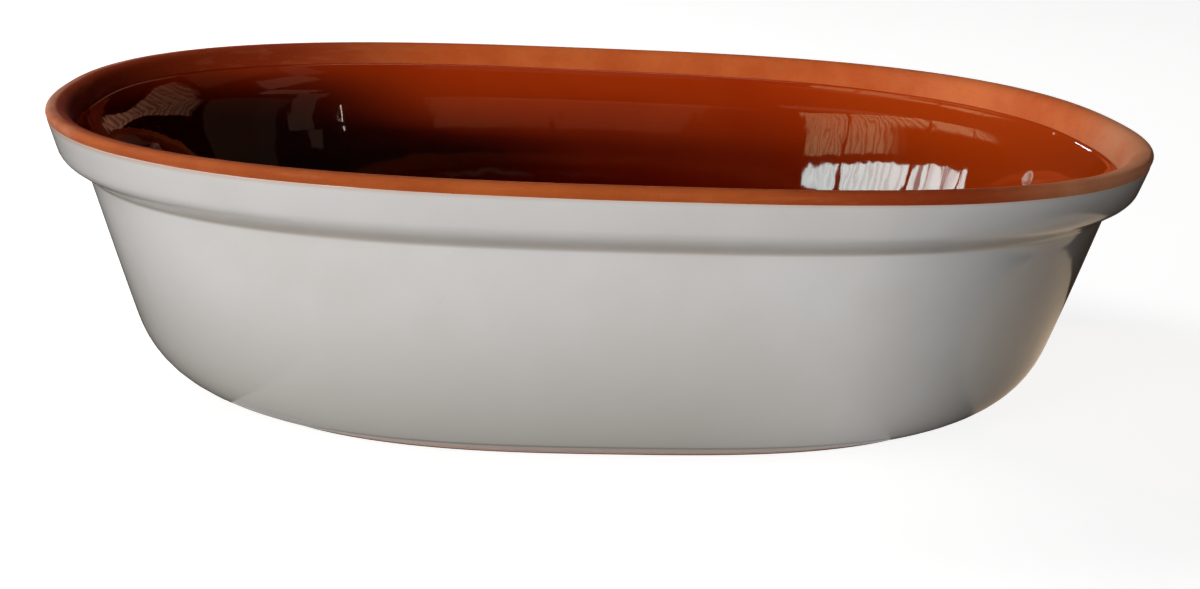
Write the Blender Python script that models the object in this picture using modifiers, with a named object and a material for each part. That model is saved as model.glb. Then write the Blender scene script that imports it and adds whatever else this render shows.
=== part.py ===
"""Oval ceramic bread baker: a terracotta dish with a honey glaze inside and a cream glaze outside.

The dish is one fired clay body. Its two glazes are separate coats, each lying in a shallow
recess of the clay, so that a bare clay rim and a bare clay foot are left between them.
Metres, +Z up, length along X. The origin is under the middle of the foot.
"""

import math

import bmesh
import bpy
import numpy as np
from mathutils import Vector

# Overall size, over the widest edge of the rim
LENGTH = 0.350
WIDTH = 0.234
HEIGHT = 0.087

# Seen from above the dish is an oval: |x / half length|^LENGTH_POWER + |y / half width|^WIDTH_POWER = 1.
# Both powers at 2 would give a plain ellipse. A greater length power gives straighter long sides,
# and a greater width power gives blunter ends.
LENGTH_POWER = 2.87
WIDTH_POWER = 2.33

# Rim and collar, the flared band round the top. A drop is measured down from the crest of the
# rim, and an inset inward from the rim's widest edge.
RIM_OUTER_ROUND = 0.0016
RIM_CREST_FLAT = 0.0005
RIM_INNER_ROUND = 0.0050
RIM_INNER_LEAN = math.radians(18.0)
COLLAR_LEAN = math.radians(14.0)
COLLAR_FACE_DROP = 0.0130
COLLAR_EDGE_ROUND = 0.0050
CREASE_DROP = 0.0193
CREASE_INSET = 0.0108
CREASE_ROUND = 0.0040
INNER_SHOULDER_DROP = 0.0105
INNER_SHOULDER_ROUND = 0.012
INNER_CREASE_DROP = 0.0210
INNER_CREASE_ROUND = 0.018

# Wall, heel and floor. The ends lean out more than the long sides do, and their heel is rounder.
WALL_THICKNESS = 0.0065
END_WALL_LEAN = math.radians(15.9)
SIDE_WALL_LEAN = math.radians(6.2)
END_HEEL_RADIUS = 0.028
SIDE_HEEL_RADIUS = 0.0120
HEEL_END_SLOPE = math.radians(7.0)
INNER_END_HEEL_RADIUS = 0.022
INNER_SIDE_HEEL_RADIUS = 0.011
FLOOR_THICKNESS = 0.0062

# Foot ring and the shallow dish under the floor
FOOT_HEIGHT = 0.0013
FOOT_RING_WIDTH = 0.0090
FOOT_EDGE_CHAMFER = 0.0004
UNDERSIDE_RECESS = 0.0012

# Glaze coats, and how far below the crest each one starts
GLAZE_THICKNESS = 0.0005
GLAZE_GAP = 0.0003
GLAZE_EDGE_GAP = 0.0004
OUTER_GLAZE_DROP = 0.0038
INNER_GLAZE_DROP = 0.0086

# How finely the shapes are divided
AROUND = 64
ROUND_STEPS = 3
HEEL_STEPS = 5

# Bare stations at the top of each section, before the one where the glaze starts
OUTER_BARE_STATIONS = ROUND_STEPS + 2
INNER_BARE_STATIONS = ROUND_STEPS + 1

TERRACOTTA = (0.50, 0.17, 0.06)
CREAM = (0.66, 0.61, 0.56)
HONEY = (0.30, 0.06, 0.01)


def clear_scene():
    for item in list(bpy.data.objects):
        bpy.data.objects.remove(item, do_unlink=True)


def arc(centre, radius, start, end, steps):
    """Points along an arc, with its angles in radians."""
    points = []
    for step in range(steps + 1):
        angle = start + (end - start) * step / steps
        points.append(centre + radius * Vector((math.cos(angle), math.sin(angle))))
    return points


def rounded_corner(before, corner, after, radius, steps):
    """An arc that rounds a corner, taking less than half of the shorter side beside it."""
    back = (before - corner).normalized()
    ahead = (after - corner).normalized()
    half = back.angle(ahead) / 2
    side = min((before - corner).length, (after - corner).length)
    run = min(radius / math.tan(half), 0.45 * side)
    centre = corner + run / math.cos(half) * (back + ahead).normalized()
    first = corner + run * back - centre
    last = corner + run * ahead - centre
    start = math.atan2(first.y, first.x)
    turn = math.remainder(math.atan2(last.y, last.x) - start, math.tau)
    return arc(centre, first.length, start, start + turn, steps)


def down_to(drop, start, lean):
    """Where a line from start, leaning inward on its way down, is that far below the crest."""
    fall = start.y - (HEIGHT - drop)
    return Vector((start.x + fall * math.tan(lean), HEIGHT - drop))


def outer_section(wall_lean, heel_radius):
    """The finished outside as stations of (inset, height), from the rim's crest to the foot's top."""
    rim_centre = Vector((RIM_OUTER_ROUND, HEIGHT - RIM_OUTER_ROUND))
    rim = arc(rim_centre, RIM_OUTER_ROUND, math.pi / 2, math.pi, ROUND_STEPS)
    face_top = arc(rim_centre, RIM_OUTER_ROUND, math.pi, math.pi + COLLAR_LEAN, 1)[-1]
    glaze_line = down_to(OUTER_GLAZE_DROP, face_top, COLLAR_LEAN)
    coat_top = down_to(OUTER_GLAZE_DROP + GLAZE_EDGE_GAP, face_top, COLLAR_LEAN)
    face_foot = down_to(COLLAR_FACE_DROP, face_top, COLLAR_LEAN)
    crease = Vector((CREASE_INSET, HEIGHT - CREASE_DROP))

    heel_height = FOOT_HEIGHT + heel_radius * math.cos(HEEL_END_SLOPE)
    heel_reach = heel_radius + (crease.y - heel_height) * math.sin(wall_lean)
    heel_centre = Vector((crease.x + heel_reach / math.cos(wall_lean), heel_height))
    heel_end = 1.5 * math.pi - HEEL_END_SLOPE
    coat_end = heel_end - GLAZE_EDGE_GAP / heel_radius
    heel = arc(heel_centre, heel_radius, math.pi + wall_lean, coat_end, HEEL_STEPS)
    foot_top = arc(heel_centre, heel_radius, coat_end, heel_end, 1)[-1]

    collar_edge = rounded_corner(coat_top, face_foot, crease, COLLAR_EDGE_ROUND, ROUND_STEPS)
    fold = rounded_corner(face_foot, crease, heel[0], CREASE_ROUND, ROUND_STEPS)
    return rim + [face_top, glaze_line, coat_top] + collar_edge + fold + heel + [foot_top]


def inner_section(wall_lean, heel_radius):
    """The finished inside as stations of (inset, height), from the rim's crest to the flat floor."""
    rim_centre = Vector((RIM_OUTER_ROUND + RIM_CREST_FLAT, HEIGHT - RIM_INNER_ROUND))
    rim = arc(rim_centre, RIM_INNER_ROUND, math.pi / 2, RIM_INNER_LEAN, ROUND_STEPS)
    glaze_line = down_to(INNER_GLAZE_DROP, rim[-1], RIM_INNER_LEAN)
    coat_top = down_to(INNER_GLAZE_DROP + GLAZE_EDGE_GAP, rim[-1], RIM_INNER_LEAN)
    shoulder = down_to(INNER_SHOULDER_DROP, rim[-1], RIM_INNER_LEAN)

    behind_crease = Vector((CREASE_INSET + WALL_THICKNESS / math.cos(wall_lean), HEIGHT - CREASE_DROP))
    inner_crease = down_to(INNER_CREASE_DROP, behind_crease, wall_lean)
    floor_height = UNDERSIDE_RECESS + FLOOR_THICKNESS
    floor_corner = down_to(HEIGHT - floor_height, behind_crease, wall_lean)
    floor_middle = Vector((WIDTH / 2, floor_height))

    bend = rounded_corner(coat_top, shoulder, inner_crease, INNER_SHOULDER_ROUND, 1)
    fold = rounded_corner(shoulder, inner_crease, floor_corner, INNER_CREASE_ROUND, ROUND_STEPS)
    heel = rounded_corner(fold[-1], floor_corner, floor_middle, heel_radius, HEEL_STEPS)
    return rim + [glaze_line, coat_top] + bend + fold + heel


def foot_section(foot_top):
    """The foot ring under its top edge, and the step up into the shallow dish inside it."""
    inner_edge = foot_top.x + FOOT_RING_WIDTH
    return [
        Vector((foot_top.x, FOOT_EDGE_CHAMFER)),
        Vector((foot_top.x + FOOT_EDGE_CHAMFER, 0.0)),
        Vector((inner_edge, 0.0)),
        Vector((inner_edge + UNDERSIDE_RECESS, UNDERSIDE_RECESS)),
    ]


def oval_point(angle):
    """The point of the unit oval in one direction, found by halving the range it can lie in."""
    lengthwise, widthwise = math.cos(angle), math.sin(angle)
    near, far = 1.0, math.sqrt(2)
    for _ in range(40):
        reach = (near + far) / 2
        if abs(reach * lengthwise) ** LENGTH_POWER + abs(reach * widthwise) ** WIDTH_POWER < 1:
            near = reach
        else:
            far = reach
    return near * lengthwise, near * widthwise


def rings_round(end_section, side_section):
    """One closed ring for each station. It has the end section's point at the two ends and the
    side section's at the two long sides, and its height blends smoothly from one to the other."""
    rings = []
    for end, side in zip(end_section, side_section):
        ring = []
        for step in range(AROUND):
            x, y = oval_point(math.tau * step / AROUND)
            height = end.y * abs(x) ** LENGTH_POWER + side.y * abs(y) ** WIDTH_POWER
            ring.append((x * (LENGTH / 2 - end.x), y * (WIDTH / 2 - side.x), height))
        rings.append(ring)
    return np.array(rings)


def normals_of(rings):
    """Unit normals at every point of the rings, which point down or outward."""
    round_way = np.roll(rings, -1, axis=1) - np.roll(rings, 1, axis=1)
    down_way = np.gradient(rings, axis=0)
    normals = np.cross(down_way, round_way)
    return normals / np.linalg.norm(normals, axis=2, keepdims=True)


def loft(name, rings, close_start=False, close_end=False):
    """Joins each ring to the next into a surface, and may fill the first and the last."""
    mesh = bpy.data.meshes.new(name)
    bm = bmesh.new()
    loops = [[bm.verts.new(point) for point in ring] for ring in rings]
    for upper, lower in zip(loops, loops[1:]):
        for here in range(AROUND):
            there = (here + 1) % AROUND
            bm.faces.new((upper[here], lower[here], lower[there], upper[there]))
    if close_start:
        bm.faces.new(loops[0])
    if close_end:
        bm.faces.new(reversed(loops[-1]))
    bm.to_mesh(mesh)
    bm.free()
    mesh.shade_smooth()
    mesh.set_sharp_from_angle(angle=math.radians(35))
    return bpy.data.objects.new(name, mesh)


def add_thickness(coat):
    """Turns the glaze's finished surface into a coat that reaches into the clay's recess."""
    shell = coat.modifiers.new("glaze thickness", "SOLIDIFY")
    shell.thickness = GLAZE_THICKNESS
    shell.offset = -1.0


def build_clay_body(outer, inner, foot):
    """The whole dish in one loft, from the floor up over the rim and down to the underside."""
    recess = GLAZE_THICKNESS + GLAZE_GAP
    inner_out = -normals_of(inner)
    inner_out[-1] = (0.0, 0.0, 1.0)
    under_honey = (inner - recess * inner_out)[INNER_BARE_STATIONS:]
    under_cream = (outer - recess * normals_of(outer))[OUTER_BARE_STATIONS:]
    bare_inside = inner[: INNER_BARE_STATIONS + 1]
    bare_outside = outer[: OUTER_BARE_STATIONS + 1]
    rings = [under_honey[::-1], bare_inside[::-1], bare_outside, under_cream, foot]
    return loft("clay_body", np.concatenate(rings), close_start=True, close_end=True)


def build_outer_glaze(outer):
    """The cream coat, from just under the rim's edge to just above the foot."""
    coat = loft("outer_glaze", outer[OUTER_BARE_STATIONS + 1 : -1])
    add_thickness(coat)
    return coat


def build_inner_glaze(inner):
    """The honey coat, from its line inside the rim down over the whole floor."""
    coat = loft("inner_glaze", inner[INNER_BARE_STATIONS + 1 :][::-1], close_start=True)
    add_thickness(coat)
    return coat


def finish(piece, name, colour, roughness):
    material = bpy.data.materials.new(name)
    material.use_nodes = True
    shader = material.node_tree.nodes["Principled BSDF"]
    shader.inputs["Base Color"].default_value = (*colour, 1.0)
    shader.inputs["Roughness"].default_value = roughness
    shader.inputs["Metallic"].default_value = 0.0
    piece.data.materials.append(material)


def main():
    clear_scene()
    parts = bpy.data.collections.new("bread baker")
    bpy.context.scene.collection.children.link(parts)

    outer_end = outer_section(END_WALL_LEAN, END_HEEL_RADIUS)
    outer_side = outer_section(SIDE_WALL_LEAN, SIDE_HEEL_RADIUS)
    inner_end = inner_section(END_WALL_LEAN, INNER_END_HEEL_RADIUS)
    inner_side = inner_section(SIDE_WALL_LEAN, INNER_SIDE_HEEL_RADIUS)
    outer = rings_round(outer_end, outer_side)
    inner = rings_round(inner_end, inner_side)
    foot = rings_round(foot_section(outer_end[-1]), foot_section(outer_side[-1]))

    clay = build_clay_body(outer, inner, foot)
    cream = build_outer_glaze(outer)
    honey = build_inner_glaze(inner)
    finish(clay, "bare terracotta", TERRACOTTA, 0.85)
    finish(cream, "cream glaze", CREAM, 0.12)
    finish(honey, "honey glaze", HONEY, 0.06)
    for piece in (clay, cream, honey):
        parts.objects.link(piece)


main()
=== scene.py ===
"""Looks of the oval ceramic bread baker: bare terracotta, honey glaze inside, cream glaze outside."""

import math

import bmesh
import bpy
from mathutils import Matrix, Vector


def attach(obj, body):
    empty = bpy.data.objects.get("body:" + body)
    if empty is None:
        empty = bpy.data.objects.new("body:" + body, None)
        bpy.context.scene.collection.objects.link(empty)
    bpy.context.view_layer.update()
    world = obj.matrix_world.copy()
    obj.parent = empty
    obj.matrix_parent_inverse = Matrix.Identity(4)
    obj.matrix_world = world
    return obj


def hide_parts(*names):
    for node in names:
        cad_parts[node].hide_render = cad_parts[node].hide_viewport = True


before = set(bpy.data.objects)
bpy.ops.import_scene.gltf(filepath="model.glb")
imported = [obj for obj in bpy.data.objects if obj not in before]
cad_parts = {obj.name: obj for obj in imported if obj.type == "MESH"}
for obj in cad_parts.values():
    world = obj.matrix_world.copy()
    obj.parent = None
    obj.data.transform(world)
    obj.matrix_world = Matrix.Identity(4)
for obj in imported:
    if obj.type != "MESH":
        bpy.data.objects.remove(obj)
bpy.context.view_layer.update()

# The dish: overall size, the two powers of its oval, and its sections. A section is a line of
# (inset from the rim's widest edge, height). A drop is measured down from the rim's crest. A run is
# how far a soft corner reaches along the side before it and along the side after it.
LENGTH = 0.350
WIDTH = 0.234
HEIGHT = 0.087
LENGTH_POWER = 2.87
WIDTH_POWER = 2.33
AROUND = 192
SECTION_STEP = 0.001
RING_TURN = math.radians(7)
RING_LONGEST = 0.0032
RING_SHORTEST = 0.00004
MERGE_DISTANCE = 0.000005
SHARP_ANGLE = math.radians(50)

RIM_OUTER_ROUND = 0.0016
RIM_CREST_FLAT = 0.0005
RIM_INNER_ROUND = 0.0050
RIM_INNER_LEAN = math.radians(18.0)
COLLAR_LEAN = math.radians(14.0)
COLLAR_FACE_DROP = 0.0141
COLLAR_EDGE_RUN = 0.0027
CREASE_DROP = 0.0200
CREASE_INSET = 0.0108
CREASE_RUN = 0.0014
INNER_SHOULDER_DROP = 0.0105
INNER_SHOULDER_RUNS = (0.0012, 0.0060)
INNER_CREASE_DROP = 0.0210
INNER_CREASE_RUNS = (0.0065, 0.0200)
WALL_THICKNESS = 0.0065
END_LEAN = math.radians(15.9)
SIDE_LEAN = math.radians(4.5)
END_FOOT_INSET = 0.0479
SIDE_FOOT_INSET = 0.0277
END_BELLY = 0.019
SIDE_BELLY = 0.048
HEEL_SLOPE = math.radians(7.0)
INNER_SIDE_LEAN = math.radians(11.5)
INNER_END_HEEL = 0.022
INNER_SIDE_HEEL = 0.024
INNER_HEEL_SOFTNESS = 1.15
FLOOR_HEIGHT = 0.0074
FOOT_HEIGHT = 0.0013
FOOT_RING_WIDTH = 0.0090
UNDERSIDE_RECESS = 0.0012

# The foot from the wall's end on: how far further in, and the height
FOOT_SECTION = (
    (0.0001, FOOT_HEIGHT - 0.00025),
    (-0.0002, FOOT_HEIGHT - 0.00055),
    (-0.0002, 0.00050),
    (0.0, 0.00018),
    (0.0004, 0.0),
    (FOOT_RING_WIDTH - 0.0004, 0.0),
    (FOOT_RING_WIDTH, 0.00015),
    (FOOT_RING_WIDTH + 0.0010, 0.00105),
    (FOOT_RING_WIDTH + 0.0016, UNDERSIDE_RECESS),
)

# Glaze lines: how far below the crest each runs, how it tilts along the dish, and how far above and
# below it the clay and the coat follow its wandering. What lies within the inside's share of the
# oval follows the inner line.
INNER_LINE_DROP = 0.00835
INNER_LINE_TILT = 0.00130
INNER_LINE_REACH = (0.0036, 0.0050)
OUTER_LINE_DROP = 0.00345
OUTER_LINE_TILT = 0.00045
OUTER_LINE_REACH = (0.0014, 0.0060)
INSIDE_SHARE = 0.93

# Glaze coats: thickness, how far one starts above its line, how deep its edge is buried and over
# what run it comes up, where and how much each swells, and how far the clay lies under it
COAT = 0.00050
COAT_START = 0.00010
COAT_STEP = 0.00006
EDGE_DEPTH = 0.00015
EDGE_RUN = 0.0007
SWELL_START = 0.0010
SWELL_RUN = 0.0055
HONEY_SWELL = 0.00034
CREAM_SWELL = 0.00010
CLAY_DEPTH = 0.00045
CLAY_RUN = 0.0016
CLAY_STEP = 0.0002

# Two drips of glaze that froze on the inner wall, and a pinhead: place, facing, size and shape
DRIPS = (
    ((-0.1527, 0.0250, 0.0590), math.radians(12), 0.0026, (0.90, 0.90, 1.20)),
    ((0.1547, 0.0190, 0.0607), math.radians(-11), 0.0023, (1.00, 1.10, 1.05)),
    ((0.1632, 0.0228, 0.0768), math.radians(-11), 0.0004, (1.00, 1.00, 1.00)),
)

# How a drip narrows above its upper part and spreads below its lower part. The parts are shares of
# its size.
DRIP_UPPER = 0.2
DRIP_LOWER = -0.5
DRIP_NARROWING = (0.82, 0.74, 1.0)
DRIP_SPREADING = (1.15, 1.12, 0.85)

# Colours of the bare clay, in linear red, green and blue. A pair is mixed in clouds.
CLAY = ((0.38, 0.070, 0.010), (0.47, 0.100, 0.019))
# Painted light: a paler copy of the clay for the rim's inner slope, where light falls on it
LIT_INNER_SLOPE_CLAY = ((0.58, 0.095, 0.015), (0.70, 0.155, 0.034))
SHADED_CLAY = (0.27, 0.024, 0.003)
# Painted sheen: pale clay for the rim's right end
PAINTED_SHEEN_CLAY = (0.68, 0.29, 0.15)
# Painted shade: darker clay for one stretch of the front rim
PAINTED_FRONT_RIM_SHADE = (0.26, 0.026, 0.004)
# Painted sheen: pale pinkish clay for the crest at the left end
PAINTED_CREST_SHEEN = (0.62, 0.33, 0.23)
CLAY_STREAK = (0.56, 0.16, 0.055)
CLAY_GRAIN = (0.34, 0.065, 0.016)
GROG = (0.58, 0.20, 0.08)
PORE = (0.20, 0.055, 0.022)
FOOT_CLAY = (0.20, 0.075, 0.035)
# Painted highlight: the pinkish band of the foot's lit edge
PAINTED_FOOT_HIGHLIGHT = (0.50, 0.37, 0.31)
# Painted shadow: near-black clay where the foot stands on the floor
PAINTED_CONTACT_SHADOW = (0.045, 0.018, 0.011)

# Colours of the honey glaze
HONEY = ((0.43, 0.038, 0.0026), (0.39, 0.030, 0.0013))
# Darker glaze low down: partly where it pools, partly painted shade
LOW_POOLED_AND_SHADED_HONEY = (0.24, 0.012, 0.0006)
# Painted light: a brighter copy of the honey glaze for the lit right end
PAINTED_LIT_HONEY = (0.45, 0.047, 0.003)
# Painted shade: near-black honey glaze for where the inside lies in shadow
PAINTED_SHADE_HONEY = (0.05, 0.002, 0.0001)
# Painted shade: dark honey glaze for the low front inner wall
PAINTED_FRONT_SHADE_HONEY = (0.08, 0.005, 0.0003)
# Painted highlight: pale pink for the drips and the pinhead
PAINTED_DRIP_HIGHLIGHT = (0.85, 0.52, 0.42)
HONEY_MOTTLE = (0.22, 0.016, 0.0008)

# Colours of the cream glaze
CREAM = ((0.69, 0.678, 0.668), (0.65, 0.630, 0.612))
CREAM_FLECK = (0.56, 0.50, 0.44)
# Painted shade: darker cream for low down on the outside
PAINTED_LOW_SHADE_CREAM = (0.40, 0.375, 0.340)
# Painted shade: darker cream under the collar
PAINTED_CREASE_SHADE = (0.36, 0.30, 0.245)
LINE_CREAM = (0.60, 0.36, 0.24)
# Painted highlight: pinkish cream for the lowest band by the foot
PAINTED_LIP_HIGHLIGHT = (0.52, 0.39, 0.32)
# Painted shade: a dark line in the crease above the foot
PAINTED_FOLD_SHADE = (0.16, 0.11, 0.085)

# The room: how far its lamps and its mirrored things stand, and the point that the lamps face
LAMP_DISTANCE = 1.5
ROOM_DISTANCE = 1.4
LIT_POINT = Vector((0.0, 0.0, 0.05))
ROOM_DARK = (0.015, 0.014, 0.013, 1.0)
MIRRORED_WALL = (4.0, 2.4)
BLACK = (0.0, 0.0, 0.0)

# The floor: its breadth, and its colour and glow where it is seen
FLOOR_SIZE = 40.0
FLOOR_THROWN = (0.12, 0.09, 0.07)
FLOOR_SEEN = (0.45, 0.45, 0.45)
FLOOR_GLOW = (0.86, 0.86, 0.86)

# Colours of what the glazes mirror: the net curtain on the right, the window's sky and curtain on the
# left, and the table beside the dish, which is paler before it and warm where light falls through
NET = (0.62, 0.25, 0.145)
SKY = (0.80, 1.0, 0.98)
WINDOW_CURTAIN = (0.185, 0.135, 0.068)
TABLE = (0.035, 0.022, 0.015)
TABLE_FRONT = (0.40, 0.41, 0.41)
TABLE_LIT = (0.84, 0.65, 0.46)

# Lamps: name, azimuth and elevation in degrees, width, height and strength. Azimuth 0 is in front of
# the dish and -90 to its left.
LAMPS = (
    ("low_front_light", -14, 7.1, 0.8, 0.16, 32.0),
    ("low_side_light", -47, 10, 0.42, 0.14, 26.0),
    ("high_back_light", -120, 45, 0.6, 0.6, 9.5),
    ("low_left_light", -92, 14, 0.5, 0.2, 5.0),
)

# Patches of the room that only the glazes mirror: azimuth, elevation, width and height as shares of
# the distance, strength and colour
MIRRORED_PATCHES = (
    (34.2, 30, 0.007, 0.21, 15.0, (1.0, 0.80, 0.68)),
    (34.0, 20.5, 0.007, 0.03, 12.0, (1.0, 0.80, 0.68)),
    (69, 58.5, 0.31, 0.13, 0.50, (1.0, 0.42, 0.28)),
    (50.7, 37.7, 0.16, 0.58, 0.28, (1.0, 0.52, 0.36)),
    (44.6, 18.5, 0.08, 0.10, 0.22, (1.0, 0.60, 0.42)),
    (84, 24, 0.73, 0.90, 0.08, (1.0, 0.72, 0.45)),
    (60, 80, 0.30, 0.30, 2.40, (1.0, 0.72, 0.62)),
    (8, 32, 0.16, 0.45, 0.30, (1.0, 0.45, 0.25)),
    (1, 43, 0.16, 0.02, 0.60, (1.0, 0.50, 0.30)),
    (-50, 60, 0.80, 0.10, 0.50, (1.0, 0.55, 0.35)),
    (-162.2, 9.2, 0.10, 0.06, 16.0, (0.85, 0.85, 1.0)),
)

# Bars of the mirrored window: middle at the top of its open panes, slant and half width, as tangents
# seen from the dish
PANE_TOP = 0.355
WINDOW_BARS = (
    (0.716, -0.04, 0.022),
    (0.055, -0.31, 0.028),
    (-0.503, -0.38, 0.014),
)

# The mirrored cards beside the dish: depth, middle and height, and the warm spot on the table, with
# the radii between which it fades
CARD_DEPTH = 1.6
CARD_MIDDLE = 0.3
CARD_HEIGHT = 0.0004
SPOT = (0.190, -0.040)
SPOT_EDGE = (0.079, 0.073)

# The card that keeps the front light off the right end: width and height, and its middle
FLAG_SIZE = (0.60, 0.10)
FLAG_MIDDLE = (0.359, -0.25, 0.0505)

# The photo's camera: its turn, rise and roll in radians, and its distance from the aimed point
CAMERA_YAW = -0.0844637
CAMERA_PITCH = 0.289134
CAMERA_ROLL = 0.051142
CAMERA_DISTANCE = 0.4962
CAMERA_AIM = Vector((0.0, 0.0, 0.035))
SENSOR_WIDTH = 36.0
FOCAL_LENGTH = 43.5
LENS_SHIFT = (0.00149, -0.03609)


# Modelling by hand


def open_piece(piece):
    """Selects one piece alone and opens it in edit mode."""
    bpy.ops.object.select_all(action="DESELECT")
    piece.select_set(True)
    bpy.context.view_layer.objects.active = piece
    bpy.ops.object.mode_set(mode="EDIT")


def close_piece():
    """Leaves edit mode."""
    bpy.ops.object.mode_set(mode="OBJECT")


def pick(test):
    """Selects the verts of the open piece whose place passes the test."""
    mesh = bpy.context.edit_object.data
    bm = bmesh.from_edit_mesh(mesh)
    bpy.context.tool_settings.mesh_select_mode = (True, False, False)
    bm.select_mode = {"VERT"}
    for item in (*bm.faces, *bm.edges, *bm.verts):
        item.select_set(False)
    for vert in bm.verts:
        if test(vert.co):
            vert.select_set(True)
    bm.select_flush_mode()
    bmesh.update_edit_mesh(mesh)


def oval_reach(angle):
    """How far the unit oval reaches in one direction, found by halving the range it can lie in."""
    near, far = 1.0, math.sqrt(2)
    for _ in range(40):
        reach = (near + far) / 2
        across = abs(reach * math.sin(angle)) ** WIDTH_POWER
        if abs(reach * math.cos(angle)) ** LENGTH_POWER + across < 1:
            near = reach
        else:
            far = reach
    return near


def oval_ring(name, ring):
    """A circle of edges, drawn out to the oval of one ring: (end inset, side inset, height)."""
    bpy.ops.object.select_all(action="DESELECT")
    bpy.ops.mesh.primitive_circle_add(vertices=AROUND, radius=1.0, fill_type="NOTHING")
    piece = bpy.context.object
    piece.name = name
    piece.data.name = name
    open_piece(piece)
    for step in range(1, AROUND // 4):
        angle = math.tau * step / AROUND
        reach = oval_reach(angle)
        corner = Vector((math.cos(angle), math.sin(angle)))
        pick(lambda co: abs(abs(co.x) - corner.x) + abs(abs(co.y) - corner.y) < 1e-4)
        bpy.ops.transform.resize(value=(reach, reach, 1), center_override=(0, 0, 0))
    end, side, height = ring
    bpy.ops.mesh.select_all(action="SELECT")
    reach = (LENGTH / 2 - end, WIDTH / 2 - side, 1)
    bpy.ops.transform.resize(value=reach, center_override=(0, 0, 0))
    bpy.ops.transform.translate(value=(0, 0, height))
    return piece


def pull_rings(rings):
    """Extrudes the selected ring on through the others, each at its own insets and height."""
    for before, after in zip(rings, rings[1:]):
        lengthwise = (LENGTH / 2 - after[0]) / (LENGTH / 2 - before[0])
        widthwise = (WIDTH / 2 - after[1]) / (WIDTH / 2 - before[1])
        bpy.ops.mesh.extrude_edges_move(
            TRANSFORM_OT_translate={"value": (0, 0, after[2] - before[2])}
        )
        bpy.ops.transform.resize(value=(lengthwise, widthwise, 1), center_override=(0, 0, 0))


def apply_all(piece):
    """Applies every modifier of the piece."""
    bpy.ops.object.select_all(action="DESELECT")
    piece.select_set(True)
    bpy.context.view_layer.objects.active = piece
    for modifier in list(piece.modifiers):
        bpy.ops.object.modifier_apply(modifier=modifier.name)


# Sections


def arc(centre, radius, start, end, steps):
    """Points along an arc, from one angle to another."""
    points = []
    for step in range(steps + 1):
        angle = start + (end - start) * step / steps
        points.append(centre + radius * Vector((math.cos(angle), math.sin(angle))))
    return points


def down_to(height, start, lean):
    """Where a straight wall that starts at a point and leans inward reaches a height."""
    return Vector((start.x + (start.y - height) * math.tan(lean), height))


def soft_corner(before, corner, after, run_in, run_out, steps):
    """A bend from the side before the corner to the side after it, which leaves both smoothly."""
    first = corner + run_in * (before - corner).normalized()
    last = corner + run_out * (after - corner).normalized()
    points = []
    for step in range(steps + 1):
        t = step / steps
        points.append((1 - t) ** 2 * first + 2 * t * (1 - t) * corner + t * t * last)
    return points


def outer_section(lean, foot_inset, belly):
    """The finished outside, from the rim's crest down to the foot. Over the run of its belly the
    wall turns under the dish more and more."""
    rim_centre = Vector((RIM_OUTER_ROUND, HEIGHT - RIM_OUTER_ROUND))
    rim = arc(rim_centre, RIM_OUTER_ROUND, math.pi / 2, math.pi + COLLAR_LEAN, 20)
    face_foot = down_to(HEIGHT - COLLAR_FACE_DROP, rim[-1], COLLAR_LEAN)
    crease = Vector((CREASE_INSET, HEIGHT - CREASE_DROP))
    wall, slope = math.tan(lean), math.tan(HEEL_SLOPE)
    reach = crease.x + (crease.y - FOOT_HEIGHT - foot_inset * slope) * wall
    heel_inset = reach / (1 - slope * wall)
    heel = Vector((heel_inset, FOOT_HEIGHT + (foot_inset - heel_inset) * slope))
    foot = Vector((foot_inset, FOOT_HEIGHT))
    under = soft_corner(crease, heel, foot, belly, (foot - heel).length, 50)
    edge = soft_corner(rim[-1], face_foot, crease, COLLAR_EDGE_RUN, COLLAR_EDGE_RUN, 14)
    fold = soft_corner(face_foot, crease, under[0], CREASE_RUN, CREASE_RUN, 12)
    return finely(rim + edge + fold + under, SECTION_STEP)


def inner_section(lean, heel):
    """The finished inside, from the rim's crest down to the flat floor."""
    rim_centre = Vector((RIM_OUTER_ROUND + RIM_CREST_FLAT, HEIGHT - RIM_INNER_ROUND))
    rim = arc(rim_centre, RIM_INNER_ROUND, math.pi / 2, RIM_INNER_LEAN, 20)
    shoulder = down_to(HEIGHT - INNER_SHOULDER_DROP, rim[-1], RIM_INNER_LEAN)
    behind_crease = Vector((CREASE_INSET + WALL_THICKNESS / math.cos(lean), HEIGHT - CREASE_DROP))
    fold_corner = down_to(HEIGHT - INNER_CREASE_DROP, behind_crease, lean)
    floor_corner = down_to(FLOOR_HEIGHT, behind_crease, lean)
    floor_middle = Vector((WIDTH / 2, FLOOR_HEIGHT))
    bend = soft_corner(rim[-1], shoulder, fold_corner, *INNER_SHOULDER_RUNS, 20)
    fold = soft_corner(shoulder, fold_corner, floor_corner, *INNER_CREASE_RUNS, 30)
    run = heel / math.tan(math.pi / 4 + lean / 2) * INNER_HEEL_SOFTNESS
    under = soft_corner(fold_corner, floor_corner, floor_middle, run, run, 40)
    return finely(rim + bend + fold + under, SECTION_STEP)


def outer_sections():
    """The outside at an end and on a long side."""
    return (
        outer_section(END_LEAN, END_FOOT_INSET, END_BELLY),
        outer_section(SIDE_LEAN, SIDE_FOOT_INSET, SIDE_BELLY),
    )


def inner_sections():
    """The inside at an end and on a long side."""
    return (
        inner_section(END_LEAN, INNER_END_HEEL),
        inner_section(INNER_SIDE_LEAN, INNER_SIDE_HEEL),
    )


def finely(line, step):
    """The same line with a point at least every step."""
    points = [line[0]]
    for before, after in zip(line, line[1:]):
        parts = max(1, math.ceil((after - before).length / step))
        points += [before.lerp(after, part / parts) for part in range(1, parts + 1)]
    return points


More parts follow.
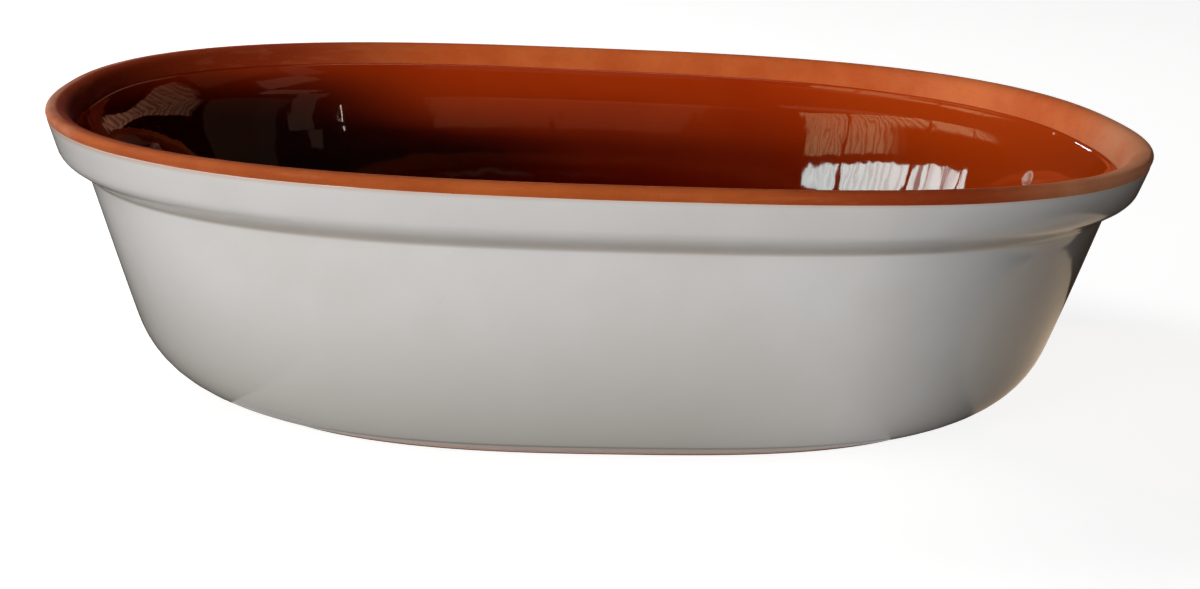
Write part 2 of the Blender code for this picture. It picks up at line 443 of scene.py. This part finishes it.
def part_below(line, height):
    """The line from one height downward."""
    for i, (before, after) in enumerate(zip(line, line[1:])):
        if after.y < height <= before.y:
            return [before.lerp(after, (before.y - height) / (before.y - after.y))] + line[i + 1 :]
    return line


def lifted(line, amount, side):
    """The line moved off its clay by an amount that depends on the way along it. Side is 1 for the
    inside and -1 for the outside."""
    points = []
    total = sum((after - before).length for before, after in zip(line, line[1:]))
    run = 0.0
    for i, point in enumerate(line):
        along = (line[min(i + 1, len(line) - 1)] - line[max(i - 1, 0)]).normalized()
        if i:
            run += (point - line[i - 1]).length
        points.append(point + side * amount(run, total - run) * Vector((-along.y, along.x)))
    return points


def on_line(line, height):
    """Where the line is at a height, and which way it runs there."""
    low, high = 0, len(line) - 1
    while high - low > 1:
        middle = (low + high) // 2
        if line[middle].y >= height:
            low = middle
        else:
            high = middle
    before, after = line[low], line[high]
    fall = before.y - after.y
    share = min(max((before.y - height) / fall, 0.0), 1.0) if fall > 0 else 0.0
    return before.lerp(after, share), (after - before).normalized()


def level_rings(end_line, side_line):
    """Level rings of (end inset, side inset, height), close together where a section bends."""
    top = max(end_line[0].y, side_line[0].y)
    bottom = min(end_line[-1].y, side_line[-1].y)
    heights = sorted({p.y for p in end_line + side_line if bottom < p.y < top}, reverse=True)
    rings = []
    kept = None
    for height in [top, *heights, bottom]:
        here = [on_line(line, height) for line in (end_line, side_line)]
        if kept and height != bottom:
            turned = max(then[1].angle(now[1]) for then, now in zip(kept, here))
            moved = max((then[0] - now[0]).length for then, now in zip(kept, here))
            if moved < RING_SHORTEST or (turned < RING_TURN and moved < RING_LONGEST):
                continue
        kept = here
        rings.append((here[0][0].x, here[1][0].x, height))
    return rings


def smooth(share):
    """A share from 0 to 1 that starts and ends gently."""
    share = min(max(share, 0.0), 1.0)
    return share * share * (3 - 2 * share)


def coat_rise(run, swell):
    """How proud a coat stands along its way: buried at its edge, swollen just past it, then flush."""
    swollen = swell * (1 - smooth((run - SWELL_START) / SWELL_RUN))
    rise = min(run / EDGE_RUN, 1.0)
    return -EDGE_DEPTH + (EDGE_DEPTH + swollen) * math.sqrt(1 - (1 - rise) ** 2)


def honey_bead(run, left):
    """The coat inside ends in a bead at its line, however much of the way is left."""
    return coat_rise(run, HONEY_SWELL)


def cream_bead(run, left):
    """The coat outside is thinner at its line, and thins out again at the foot."""
    fade = min(left / EDGE_RUN, 1.0)
    rise = coat_rise(run, CREAM_SWELL)
    return -EDGE_DEPTH + (EDGE_DEPTH + rise) * math.sqrt(1 - (1 - fade) ** 2)


def clay_under(run, left):
    """How far the clay lies under the finished glaze, along the way from the glaze line."""
    return -CLAY_DEPTH * smooth(run / CLAY_RUN)


def dressed(line, line_height, side):
    """The clay's own line: bare down to the glaze line, then sunk under the coat."""
    sunk = lifted(finely(part_below(line, line_height), CLAY_STEP), clay_under, side)
    return [point for point in line if point.y > line_height] + sunk


def slide_glaze_line(piece, line_height, drop_at, reach, lean, inside):
    """Lets the glaze line wander: what lies near it slides down its wall, here more, there less."""
    above, below = reach
    for vert in piece.data.vertices:
        x, y, z = vert.co
        gap = z - line_height
        edge = abs(2 * x / LENGTH) ** LENGTH_POWER + abs(2 * y / WIDTH) ** WIDTH_POWER
        if (edge < INSIDE_SHARE) != inside or not -below < gap < above:
            continue
        weight = smooth(1 - gap / above) if gap > 0 else smooth(1 + gap / below)
        down = weight * drop_at(x, y)
        inward = down * math.tan(lean)
        vert.co = (x - inward * 2 * x / LENGTH, y - inward * 2 * y / WIDTH, z - down)


def inner_line_drop(x, y):
    """How much lower the honey glaze's line runs at one place."""
    angle = math.atan2(y / WIDTH, x / LENGTH)
    wander = 0.00010 * math.sin(3 * angle + 0.8) + 0.00005 * math.sin(8 * angle + 2.1)
    return INNER_LINE_TILT * 2 * x / LENGTH + wander + 0.00003 * math.sin(17 * angle)


def outer_line_drop(x, y):
    """How much lower the cream glaze's line runs at one place."""
    angle = math.atan2(y / WIDTH, x / LENGTH)
    wander = 0.00007 * math.sin(4 * angle + 1.9) + 0.00004 * math.sin(11 * angle + 0.4)
    return OUTER_LINE_TILT * 2 * x / LENGTH + wander + 0.00003 * math.sin(23 * angle + 1.0)


def slide_inner(piece):
    """Lets the honey glaze's line wander."""
    height = HEIGHT - INNER_LINE_DROP
    slide_glaze_line(piece, height, inner_line_drop, INNER_LINE_REACH, RIM_INNER_LEAN, True)


def slide_outer(piece):
    """Lets the cream glaze's line wander."""
    height = HEIGHT - OUTER_LINE_DROP
    slide_glaze_line(piece, height, outer_line_drop, OUTER_LINE_REACH, COLLAR_LEAN, False)


# Pieces


def clay_dish():
    """Rim, collar, wall, floor and foot ring: one pressed piece of clay."""
    inner_line, outer_line = HEIGHT - INNER_LINE_DROP, HEIGHT - OUTER_LINE_DROP
    inside = level_rings(*(dressed(line, inner_line, 1) for line in inner_sections()))
    outside = level_rings(*(dressed(line, outer_line, -1) for line in outer_sections()))
    end, side, _ = outside[-1]
    foot = [(end + inward, side + inward, height) for inward, height in FOOT_SECTION]
    rings = inside[::-1] + outside + foot
    dish = oval_ring("clay_dish", rings[0])
    fill_first_ring(rings[0])
    pull_rings(rings)
    bpy.ops.mesh.fill_grid(span=AROUND // 4)
    finish_mesh(dish)
    slide_inner(dish)
    slide_outer(dish)
    return dish


def on_oval(co, half_length, half_width):
    """Whether a place lies on an oval, seen from above."""
    across = abs(co.y / half_width) ** WIDTH_POWER
    return abs(abs(co.x / half_length) ** LENGTH_POWER + across - 1) < 1e-3


def fill_first_ring(ring):
    """Fills the open piece's only ring with a grid, and leaves that ring selected."""
    bpy.ops.mesh.fill_grid(span=AROUND // 4)
    end, side, _ = ring
    pick(lambda co: on_oval(co, LENGTH / 2 - end, WIDTH / 2 - side))


def finish_mesh(piece, inside=False):
    """Merges what meets, turns every face the right way, closes the piece and smooths its shading."""
    bpy.ops.mesh.select_all(action="SELECT")
    bpy.ops.mesh.remove_doubles(threshold=MERGE_DISTANCE)
    bpy.ops.mesh.normals_make_consistent(inside=inside)
    close_piece()
    bpy.ops.object.shade_smooth_by_angle(angle=SHARP_ANGLE)


def coat_rings(sections, line_height, bead, side):
    """The rings of a coat, from just above its line on down."""
    start = line_height + COAT_START
    return level_rings(
        *(lifted(finely(part_below(line, start), COAT_STEP), bead, side) for line in sections)
    )


def honey_coat():
    """The glaze inside, from its line under the rim down over the whole floor."""
    rings = coat_rings(inner_sections(), HEIGHT - INNER_LINE_DROP, honey_bead, 1)[::-1]
    coat = oval_ring("honey_glaze_coat", rings[0])
    fill_first_ring(rings[0])
    pull_rings(rings)
    finish_mesh(coat, inside=True)
    slide_inner(coat)
    thicken(coat)
    return coat


def cream_coat():
    """The glaze outside, from just under the rim's edge to just above the foot."""
    rings = coat_rings(outer_sections(), HEIGHT - OUTER_LINE_DROP, cream_bead, -1)
    coat = oval_ring("cream_glaze_coat", rings[0])
    pull_rings(rings)
    finish_mesh(coat)
    slide_outer(coat)
    thicken(coat)
    return coat


def thicken(coat):
    """Gives a coat its thickness, into the clay that it is fused to."""
    wall = coat.modifiers.new("coat thickness", "SOLIDIFY")
    wall.thickness = COAT
    wall.offset = -1.0
    apply_all(coat)


def glaze_pip(place, facing, size, shape):
    """A drip of glaze that froze on the wall: a low bump, fuller at its foot than at its top."""
    bpy.ops.object.select_all(action="DESELECT")
    bpy.ops.mesh.primitive_uv_sphere_add(segments=28, ring_count=16, radius=size)
    pip = bpy.context.object
    open_piece(pip)
    bpy.ops.transform.resize(value=shape)
    pick(lambda co: co.z > DRIP_UPPER * size)
    bpy.ops.transform.resize(value=DRIP_NARROWING, center_override=(0, 0, 0))
    lower = DRIP_LOWER * size
    pick(lambda co: co.z < lower)
    bpy.ops.transform.resize(value=DRIP_SPREADING, center_override=(0, 0, lower))
    bpy.ops.mesh.select_all(action="SELECT")
    bpy.ops.transform.rotate(value=-facing, orient_axis="Z", center_override=(0, 0, 0))
    bpy.ops.transform.translate(value=place)
    bpy.ops.mesh.normals_make_consistent(inside=False)
    close_piece()
    bpy.ops.object.shade_smooth()
    return pip


def join_to(piece, others):
    """Makes the others part of the piece."""
    bpy.ops.object.select_all(action="DESELECT")
    for other in others:
        other.select_set(True)
    piece.select_set(True)
    bpy.context.view_layer.objects.active = piece
    bpy.ops.object.join()


# Finishes


class Field:
    """A socket whose value changes over a surface. Arithmetic on it adds Math nodes."""

    def __init__(self, finish, socket):
        self.finish = finish
        self.socket = socket

    def math(self, operation, first, second=0.0):
        """One Math node."""
        return self.finish.node("ShaderNodeMath", {"operation": operation}, {0: first, 1: second})

    def __add__(self, other):
        return self.math("ADD", self, other)

    def __radd__(self, other):
        return self.math("ADD", other, self)

    def __sub__(self, other):
        return self.math("SUBTRACT", self, other)

    def __rsub__(self, other):
        return self.math("SUBTRACT", other, self)

    def __mul__(self, other):
        return self.math("MULTIPLY", self, other)

    def __rmul__(self, other):
        return self.math("MULTIPLY", other, self)

    def __truediv__(self, other):
        return self.math("DIVIDE", self, other)

    def __pow__(self, other):
        return self.math("POWER", self, other)

    def wave(self):
        """Ridges from 0 to 1, one for each turn of the angle."""
        return self.math("SINE", self) * 0.5 + 0.5

    def between(self, low, high):
        """0 at low and 1 at high, with a soft start and end. Low may be the greater of the two."""
        settings = {"interpolation_type": "SMOOTHSTEP"}
        return self.finish.node("ShaderNodeMapRange", settings, {0: self, 1: low, 2: high})


class Finish:
    """One material, built node by node on the piece's own coordinates."""

    def __init__(self, name, **fixed):
        self.material = bpy.data.materials.new(name)
        self.material.use_nodes = True
        self.tree = self.material.node_tree
        self.shader = self.tree.nodes["Principled BSDF"]
        for socket, value in fixed.items():
            self.shader.inputs[socket.replace("_", " ")].default_value = value
        self.place = self.node("ShaderNodeTexCoord", {}, {}, "Object")
        split = "ShaderNodeSeparateXYZ"
        self.x, self.y, self.z = (self.node(split, {}, {0: self.place}, axis) for axis in "XYZ")

    def feed(self, socket, value):
        """Sets a socket to a fixed value, or links a field to it."""
        if isinstance(value, Field):
            self.tree.links.new(value.socket, socket)
        else:
            socket.default_value = value

    def node(self, kind, settings, sockets, output=0):
        """A new node with its settings and inputs, as the field of one of its outputs."""
        made = self.tree.nodes.new(kind)
        for name, value in settings.items():
            setattr(made, name, value)
        for name, value in sockets.items():
            self.feed(made.inputs[name], value)
        return Field(self, made.outputs[output])

    def mix(self, first, second, share):
        """One colour turning into another."""
        colours = {"data_type": "RGBA"}
        sockets = {6: self.colour(first), 7: self.colour(second), 0: share}
        return self.node("ShaderNodeMix", colours, sockets, 2)

    def colour(self, value):
        """A fixed colour with its alpha, or a field as it is."""
        return value if isinstance(value, Field) else (*value, 1.0)

    def noise(self, scale, detail, rough, stretch=(1, 1, 1), shift=0.0):
        """Cloudy noise, from 0 to 1. The scale is in features per metre."""
        sockets = {"Vector": self.place, "Scale": stretch, "Location": (shift, shift, shift)}
        drawn = self.node("ShaderNodeMapping", {"vector_type": "POINT"}, sockets)
        grain = {"Vector": drawn, "Scale": scale, "Detail": detail, "Roughness": rough}
        return self.node("ShaderNodeTexNoise", {"normalize": True}, grain)

    def dots(self, scale, size, wanted):
        """Scattered round specks: 1 in a speck and 0 outside. Only a share of the cells has one."""
        cells = {"Vector": self.place, "Scale": scale}
        near = self.node("ShaderNodeTexVoronoi", {"feature": "F1"}, cells, "Distance")
        lot = self.node("ShaderNodeTexVoronoi", {"feature": "F1"}, cells, "Color")
        drawn = self.node("ShaderNodeSeparateColor", {}, {0: lot}, 0)
        return near.between(size, size * 0.55) * drawn.between(1 - wanted, 1 - wanted * 0.7)

    def bump(self, height, depth, under=None):
        """A Bump node: depth is the relief in metres for a height from 0 to 1."""
        sockets = {"Height": height, "Distance": depth, "Strength": 1.0}
        if under is not None:
            sockets["Normal"] = under
        return self.node("ShaderNodeBump", {}, sockets)

    def put(self, **fields):
        """Feeds the shader's own inputs."""
        for socket, value in fields.items():
            self.feed(self.shader.inputs[socket.replace("_", " ")], value)


def bare_terracotta():
    """Fired clay: cloudy, grainy, with pale grog and dark pores. The inner slope is painted paler as
    painted light, with painted shade on its left part and on the front rim, a painted sheen on the
    left crest and the right end, a painted highlight along the foot and a painted contact shadow at
    its standing edge.
    """
    clay = Finish("bare_terracotta", Roughness=0.85, IOR=1.3)
    clouds = clay.noise(38, 4, 0.6)
    streaks = clay.noise(60, 3, 0.55, stretch=(1, 1, 6), shift=3.0)
    grain = clay.noise(2600, 3, 0.7)
    grog = clay.dots(900, 0.30, 0.35)
    pores = clay.dots(1500, 0.26, 0.25)
    oval = (clay.x * clay.x / (LENGTH / 2) ** 2) ** (LENGTH_POWER / 2)
    oval = oval + (clay.y * clay.y / (WIDTH / 2) ** 2) ** (WIDTH_POWER / 2)
    inner_slope = oval.between(0.966, 0.944)
    right_end = clay.x.between(0.085, 0.140)
    left_crest_sheen = clay.x.between(-0.148, -0.164) * (1 - inner_slope)
    shaded = inner_slope * clay.x.between(-0.040, -0.125)
    colour = clay.mix(*CLAY, clouds.between(0.30, 0.72))
    # Painted light: the rim's inner slope is painted paler, as if lit
    lit_slope_colour = clay.mix(*LIT_INNER_SLOPE_CLAY, clouds.between(0.30, 0.72))
    colour = clay.mix(colour, lit_slope_colour, inner_slope)
    colour = clay.mix(colour, SHADED_CLAY, shaded * 0.95)
    # Painted sheen: the rim's right end is painted paler in clouds, less so on the inner slope behind
    behind = inner_slope * clay.y.between(-0.030, 0.020)
    pale = right_end * clouds.between(0.10, 0.60) * (1 - 0.85 * behind)
    colour = clay.mix(colour, PAINTED_SHEEN_CLAY, pale * 0.9)
    # Painted shade: one stretch of the front rim is painted darker
    front_rim_shade = (1 - inner_slope) * clay.y.between(-0.080, -0.100)
    front_rim_shade = front_rim_shade * clay.x.between(0.020, 0.065) * clay.x.between(0.125, 0.090)
    colour = clay.mix(colour, PAINTED_FRONT_RIM_SHADE, front_rim_shade * 0.75)
    # Painted sheen: the crest at the left end is painted pale in clouds
    colour = clay.mix(colour, PAINTED_CREST_SHEEN, left_crest_sheen * clouds.between(0.25, 0.65) * 0.6)
    colour = clay.mix(colour, CLAY_STREAK, streaks.between(0.52, 0.80) * 0.35)
    colour = clay.mix(colour, CLAY_GRAIN, grain.between(0.58, 0.75) * 0.30)
    colour = clay.mix(colour, GROG, grog * 0.12)
    colour = clay.mix(colour, PORE, pores * 0.55)
    # Painted highlight: the foot is painted with a broken pinkish band along its lit edge, away from
    # the left end
    foot_highlight_noise = clay.noise(210, 3, 0.6, shift=7.0)
    foot_side = clay.z.between(0.0040, 0.0025)
    foot_highlight = foot_highlight_noise.between(0.05, 0.35) * clay.x.between(-0.112, -0.098)
    colour = clay.mix(colour, FOOT_CLAY, foot_side * 0.8)
    colour = clay.mix(colour, PAINTED_FOOT_HIGHLIGHT, foot_side * foot_highlight * 0.6)
    # Painted contact shadow: the lowest edge of the foot is painted near black
    colour = clay.mix(colour, PAINTED_CONTACT_SHADOW, clay.z.between(0.0007, 0.0004) * 0.9)
    relief = clay.bump(grain, 0.00008)
    relief = clay.bump(clay.noise(420, 3, 0.6), 0.00012, relief)
    relief = clay.bump(1 - pores, 0.00009, relief)
    clay.put(Base_Color=colour, Roughness=0.78 + 0.14 * grain, Normal=relief)
    return clay.material


def honey_glaze():
    """Clear red-brown glaze, darker low down where it pools and with painted shade there too, with
    painted shade on the left, low left of the middle and on the front wall, painted light on the
    right, and drips painted pale as painted highlights.
    """
    glaze = Finish("honey_glaze", Roughness=0.05, IOR=1.55)
    clouds = glaze.noise(26, 3, 0.55)
    mottle = glaze.noise(900, 3, 0.6)
    low = glaze.z.between(0.060, 0.010)
    left = glaze.x.between(-0.050, -0.112)
    deep_shade = glaze.z.between(0.058, 0.044) * glaze.x.between(0.010, -0.055)
    # Painted shade: the front inner wall is painted dark below its top
    near = glaze.y.between(0.000, -0.050) * glaze.x.between(0.050, -0.020)
    near = near * glaze.z.between(0.072, 0.050)
    colour = glaze.mix(*HONEY, clouds.between(0.3, 0.7))
    # Darker low down: partly pooled glaze, partly painted shade
    colour = glaze.mix(colour, LOW_POOLED_AND_SHADED_HONEY, low * 0.35)
    # Painted light: the right end of the inside is painted brighter
    colour = glaze.mix(colour, PAINTED_LIT_HONEY, glaze.x.between(0.060, 0.140))
    # Painted shade: the upper left of the inside is painted near black
    colour = glaze.mix(colour, PAINTED_SHADE_HONEY, glaze.z.between(0.087, 0.066) * left * 0.90)
    colour = glaze.mix(colour, PAINTED_FRONT_SHADE_HONEY, near * 0.80)
    # Painted shade: the low wall left of the middle is painted near black
    colour = glaze.mix(colour, PAINTED_SHADE_HONEY, deep_shade * 0.85)
    # Painted highlight: each drip and the pinhead is painted pale pink
    for (x, y, z), _, size, _ in DRIPS:
        away = (glaze.x - x) ** 2 + (glaze.y - y) ** 2 + (glaze.z - z) ** 2
        colour = glaze.mix(colour, PAINTED_DRIP_HIGHLIGHT, away.between((1.5 * size) ** 2, size**2))
    colour = glaze.mix(colour, HONEY_MOTTLE, mottle.between(0.55, 0.75) * 0.16)
    ripple = glaze.noise(90, 2, 0.5, stretch=(1, 1, 0.45))
    orange_peel = glaze.noise(520, 2, 0.5, stretch=(1, 1, 0.6), shift=5.0)
    relief = glaze.bump(ripple, 0.00014)
    relief = glaze.bump(orange_peel, 0.000003, relief)
    glaze.put(Base_Color=colour, Roughness=0.020 + 0.03 * mottle, Normal=relief)
    return glaze.material


def cream_glaze():
    """Cream-white glaze, with painted shade low down, in the collar's crease and in a thin line above
    the foot, and a painted highlight on its lowest band by the foot.
    """
    glaze = Finish("cream_glaze", Roughness=0.08, IOR=1.42)
    clouds = glaze.noise(22, 3, 0.55)
    fine = glaze.noise(700, 3, 0.6)
    colour = glaze.mix(*CREAM, clouds.between(0.3, 0.7))
    colour = glaze.mix(colour, CREAM_FLECK, fine.between(0.55, 0.8) * 0.12)
    # Painted shade: the outside is painted darker towards the bottom, less so on the right
    low = glaze.z.between(0.062, 0.000) * (1 - 0.75 * glaze.x.between(0.015, 0.085))
    colour = glaze.mix(colour, PAINTED_LOW_SHADE_CREAM, low * 0.85)
    # Painted shade: the band under the collar is painted darker
    under_collar_shade = glaze.z.between(0.0657, 0.0673) * glaze.z.between(0.0725, 0.0685)
    colour = glaze.mix(colour, PAINTED_CREASE_SHADE, under_collar_shade * 0.60)
    colour = glaze.mix(colour, LINE_CREAM, glaze.z.between(0.0822, 0.0838) * 0.6)
    # Painted highlight: the lowest band of the cream is painted pinkish
    lip_highlight = glaze.z.between(0.0044, 0.0039)
    # Painted shade: a thin line above the foot is painted dark
    fold = glaze.z.between(0.0054, 0.0047) * glaze.z.between(0.0040, 0.0045)
    colour = glaze.mix(colour, PAINTED_LIP_HIGHLIGHT, lip_highlight * 0.75)
    colour = glaze.mix(colour, PAINTED_FOLD_SHADE, fold * 0.6)
    relief = glaze.bump(glaze.noise(75, 2, 0.5), 0.00014)
    relief = glaze.bump(glaze.noise(430, 2, 0.5, shift=4.0), 0.000012, relief)
    glaze.put(Base_Color=colour, Roughness=0.06 + 0.05 * fine, Normal=relief)
    return glaze.material


# Floor, light and camera


def seen_directly(finish):
    """1 for what the camera or glass sees, half in a mirror, and 0 for light that is thrown back."""
    camera_ray, glossy_ray, through_ray = (
        finish.node("ShaderNodeLightPath", {}, {}, f"Is {kind} Ray")
        for kind in ("Camera", "Glossy", "Transmission")
    )
    return 1 - (1 - camera_ray) * (1 - 0.5 * glossy_ray) * (1 - through_ray)


def pale_floor():
    """A wide floor that is white where it is seen and throws little light back."""
    bpy.ops.object.select_all(action="DESELECT")
    bpy.ops.mesh.primitive_plane_add(size=FLOOR_SIZE, location=(0, 0, 0))
    floor = bpy.context.object
    floor.name = "pale_floor"
    paint = Finish("pale_floor", Roughness=0.9, Emission_Strength=1.0)
    shown = seen_directly(paint)
    paint.put(
        Base_Color=paint.mix(FLOOR_THROWN, FLOOR_SEEN, shown),
        Emission_Color=paint.mix(BLACK, FLOOR_GLOW, shown),
    )
    floor.data.materials.append(paint.material)


def soft_lamp(name, azimuth, elevation, distance, wide, tall, strength):
    """A rectangular soft light that faces the lit point."""
    turn, rise = math.radians(azimuth), math.radians(elevation)
    level = math.cos(rise)
    back = Vector((math.sin(turn) * level, -math.cos(turn) * level, math.sin(rise)))
    lamp = bpy.data.lights.new(name, "AREA")
    lamp.shape = "RECTANGLE"
    lamp.size = wide
    lamp.size_y = tall
    lamp.energy = strength * math.pi * wide * tall
    holder = bpy.data.objects.new(name, lamp)
    bpy.context.scene.collection.objects.link(holder)
    holder.location = LIT_POINT + distance * back
    holder.rotation_euler = back.to_track_quat("Z", "Y").to_euler()
    holder.visible_camera = False
    return holder


def card(name, wide, tall, middle, azimuth=None):
    """A flat card round its middle. It lies level, or stands square to an azimuth."""
    bpy.ops.object.select_all(action="DESELECT")
    bpy.ops.mesh.primitive_plane_add(size=1.0, location=(0, 0, 0))
    piece = bpy.context.object
    piece.name = name
    open_piece(piece)
    bpy.ops.mesh.select_all(action="SELECT")
    bpy.ops.transform.resize(value=(wide, tall, 1.0))
    if azimuth is not None:
        about = (0, 0, 0)
        turn = math.radians(azimuth)
        bpy.ops.transform.rotate(value=-math.pi / 2, orient_axis="X", center_override=about)
        bpy.ops.transform.rotate(value=-turn, orient_axis="Z", center_override=about)
    bpy.ops.transform.translate(value=middle)
    close_piece()
    return piece


def glowing(name, strength):
    """A black finish that shines with what is fed to its emission colour."""
    fixed = {"Roughness": 1.0, "IOR": 1.0, "Base_Color": (*BLACK, 1.0)}
    return Finish(name, **fixed, Emission_Strength=strength)


def mirrored_wall(name, azimuth, middle, strength):
    """An upright plane that only the glazes mirror. Its finish comes with two fields over it: the
    tangents of how far to the side and how far up each place lies, seen from a middle."""
    turn = math.radians(azimuth)
    along = Vector((math.cos(turn), math.sin(turn), 0.0))
    away = Vector((math.sin(turn), -math.cos(turn), 0.0))
    wide, tall = MIRRORED_WALL
    centre = middle + ROOM_DISTANCE * away + Vector((0, 0, tall / 2))
    wall = card(name, wide, tall, centre, azimuth)
    room = glowing(name, strength)
    wall.data.materials.append(room.material)
    only_mirrored(wall)
    u = (room.x * along.x + room.y * along.y - middle.dot(along)) / ROOM_DISTANCE
    v = (room.z - middle.z) / ROOM_DISTANCE
    return room, u, v


def only_mirrored(piece):
    """Hides a piece from all but mirrors."""
    piece.visible_camera = False
    piece.visible_diffuse = False
    piece.visible_shadow = False
    piece.visible_transmission = False


def mirrored_curtain():
    """Daylight through a gathered net curtain, behind the dish on its right."""
    seen_from = Vector((-0.15, 0.04, 0.075))
    room, u, v = mirrored_wall("mirrored_curtain", azimuth=128, middle=seen_from, strength=1.0)
    sill = 0.42 - 0.05 * u - 0.75 * u * u * u
    net = (v - sill).between(0.0, 0.015) * v.between(0.95, 0.80)
    net = net * u.between(-0.34, -0.24) * u.between(0.80, 0.70)
    folds = room.noise(7, 3, 0.6, stretch=(1, 1, 0.15))
    pleats = (u * 95 + folds * 12).wave()
    room.put(Emission_Color=room.mix(BLACK, NET, net * (0.40 + 0.75 * pleats)))


def mirrored_window():
    """A window on the left: bright panes below and curtained ones above."""
    seen_from = Vector((0.06, 0.04, 0.05))
    room, u, v = mirrored_wall("mirrored_window", azimuth=-70, middle=seen_from, strength=13.0)
    open_glass = 1.0
    for middle, slant, half in WINDOW_BARS:
        off = u - middle - (v - PANE_TOP) * slant
        open_glass = (off * off).between((half * 0.85) ** 2, (half * 1.15) ** 2) * open_glass
    open_glass = open_glass * (u - 0.13 * (v - 0.35)).between(1.075, 1.055)
    folds = room.noise(9, 3, 0.6, stretch=(1, 1, 0.12))
    weave = (u * 60 + u * u * 60 + folds * 5).wave()
    ragged = v + 0.05 * room.noise(5, 3, 0.6, stretch=(1, 1, 0.3), shift=2.0) - 0.025
    sky = ragged.between(0.356, 0.345) * u.between(-0.60, -0.59) * open_glass
    slats = room.noise(22, 2, 0.6, stretch=(1, 1, 0.05), shift=4.0)
    blinds = u.between(0.05, 0.0) * slats.between(0.46, 0.40)
    sky = sky * (1 - 0.30 * weave) * (1 - 0.75 * blinds)
    curtain = ragged.between(0.402, 0.424) * v.between(1.47, 1.40) * open_glass
    bare = u.between(0.50, 0.12) * v.between(1.02, 0.78)
    far = u.between(-0.80, -1.35)
    curtain = curtain * (1 - bare) * (1 - far) * (0.30 + 1.15 * weave) * (0.7 + 0.5 * folds)
    glow = room.mix(BLACK, WINDOW_CURTAIN, curtain)
    room.put(Emission_Color=room.mix(glow, SKY, sky))


def side_card(name, left, right):
    """A card beside the dish that only the glaze mirrors, which shades the dish's ends."""
    middle = ((left + right) / 2, CARD_MIDDLE, CARD_HEIGHT)
    piece = card(name, right - left, CARD_DEPTH, middle)
    table = glowing(name, 1.0)
    away = ((table.x - SPOT[0]) ** 2 + (table.y - SPOT[1]) ** 2) ** 0.5
    lit = away.between(*SPOT_EDGE) * table.x.between(0.070, 0.185)
    lit = lit * (1 - 0.5 * table.y.between(-0.030, 0.050))
    front = table.y.between(-0.060, -0.130) * (table.x * table.x).between(0.27**2, 0.20**2)
    colour = table.mix(TABLE, TABLE_FRONT, front)
    table.put(Emission_Color=table.mix(colour, TABLE_LIT, lit))
    piece.data.materials.append(table.material)
    only_mirrored(piece)


def light_flag():
    """A black card before the right end of the dish, which keeps the front light off it."""
    flag = card("light_flag", *FLAG_SIZE, FLAG_MIDDLE, azimuth=0)
    flag.data.materials.append(glowing("light_flag", 0.0).material)
    flag.visible_camera = False
    flag.visible_glossy = False
    flag.visible_transmission = False


def mirrored_patch(azimuth, elevation, wide, tall, strength, colour):
    """A patch of the room that only the glazes mirror. Its sides are shares of its distance."""
    wide, tall = ROOM_DISTANCE * wide, ROOM_DISTANCE * tall
    patch = soft_lamp("mirrored_light", azimuth, elevation, ROOM_DISTANCE, wide, tall, strength)
    patch.data.color = colour
    patch.visible_diffuse = False


def light():
    """The lamps, what the glazes mirror, and the dark of the rest of the room."""
    for name, azimuth, elevation, *rest in LAMPS:
        soft_lamp(name, azimuth, elevation, LAMP_DISTANCE, *rest).visible_glossy = False
    mirrored_window()
    mirrored_curtain()
    side_card("left_card", left=-1.2, right=-0.115)
    side_card("right_card", left=0.085, right=1.2)
    light_flag()
    for patch in MIRRORED_PATCHES:
        mirrored_patch(*patch)
    world = bpy.data.worlds.new("room")
    bpy.context.scene.world = world
    world.use_nodes = True
    world.node_tree.nodes["Background"].inputs["Color"].default_value = ROOM_DARK


def camera():
    """The photo's camera."""
    level = math.cos(CAMERA_PITCH)
    back = Vector(
        (math.sin(CAMERA_YAW) * level, -math.cos(CAMERA_YAW) * level, math.sin(CAMERA_PITCH))
    )
    right = Vector((math.cos(CAMERA_YAW), math.sin(CAMERA_YAW), 0.0))
    up = back.cross(right)
    side = math.cos(CAMERA_ROLL) * right + math.sin(CAMERA_ROLL) * up
    rise = math.cos(CAMERA_ROLL) * up - math.sin(CAMERA_ROLL) * right
    lens = bpy.data.cameras.new("camera")
    lens.sensor_width = SENSOR_WIDTH
    lens.lens = FOCAL_LENGTH
    lens.shift_x, lens.shift_y = LENS_SHIFT
    lens.clip_start = 0.01
    lens.clip_end = 100.0
    eye = bpy.data.objects.new("camera", lens)
    bpy.context.scene.collection.objects.link(eye)
    turn = Matrix((side, rise, back)).transposed()
    place = CAMERA_DISTANCE * back + CAMERA_AIM
    eye.matrix_world = Matrix.Translation(place) @ turn.to_4x4()
    bpy.context.scene.camera = eye


clay = clay_dish()
honey = honey_coat()
cream = cream_coat()
join_to(honey, [glaze_pip(*drip) for drip in DRIPS])

clay.data.materials.append(bare_terracotta())
honey.data.materials.clear()
honey.data.materials.append(honey_glaze())
cream.data.materials.append(cream_glaze())
for piece, node, slot in (
    (clay, "clay_body", "bare_clay"),
    (honey, "inner_glaze", "honey_glaze"),
    (cream, "outer_glaze", "cream_glaze"),
):
    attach(piece, "root")
    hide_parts(node)

pale_floor()
light()
camera()
bpy.context.scene.view_settings.view_transform = "Standard"
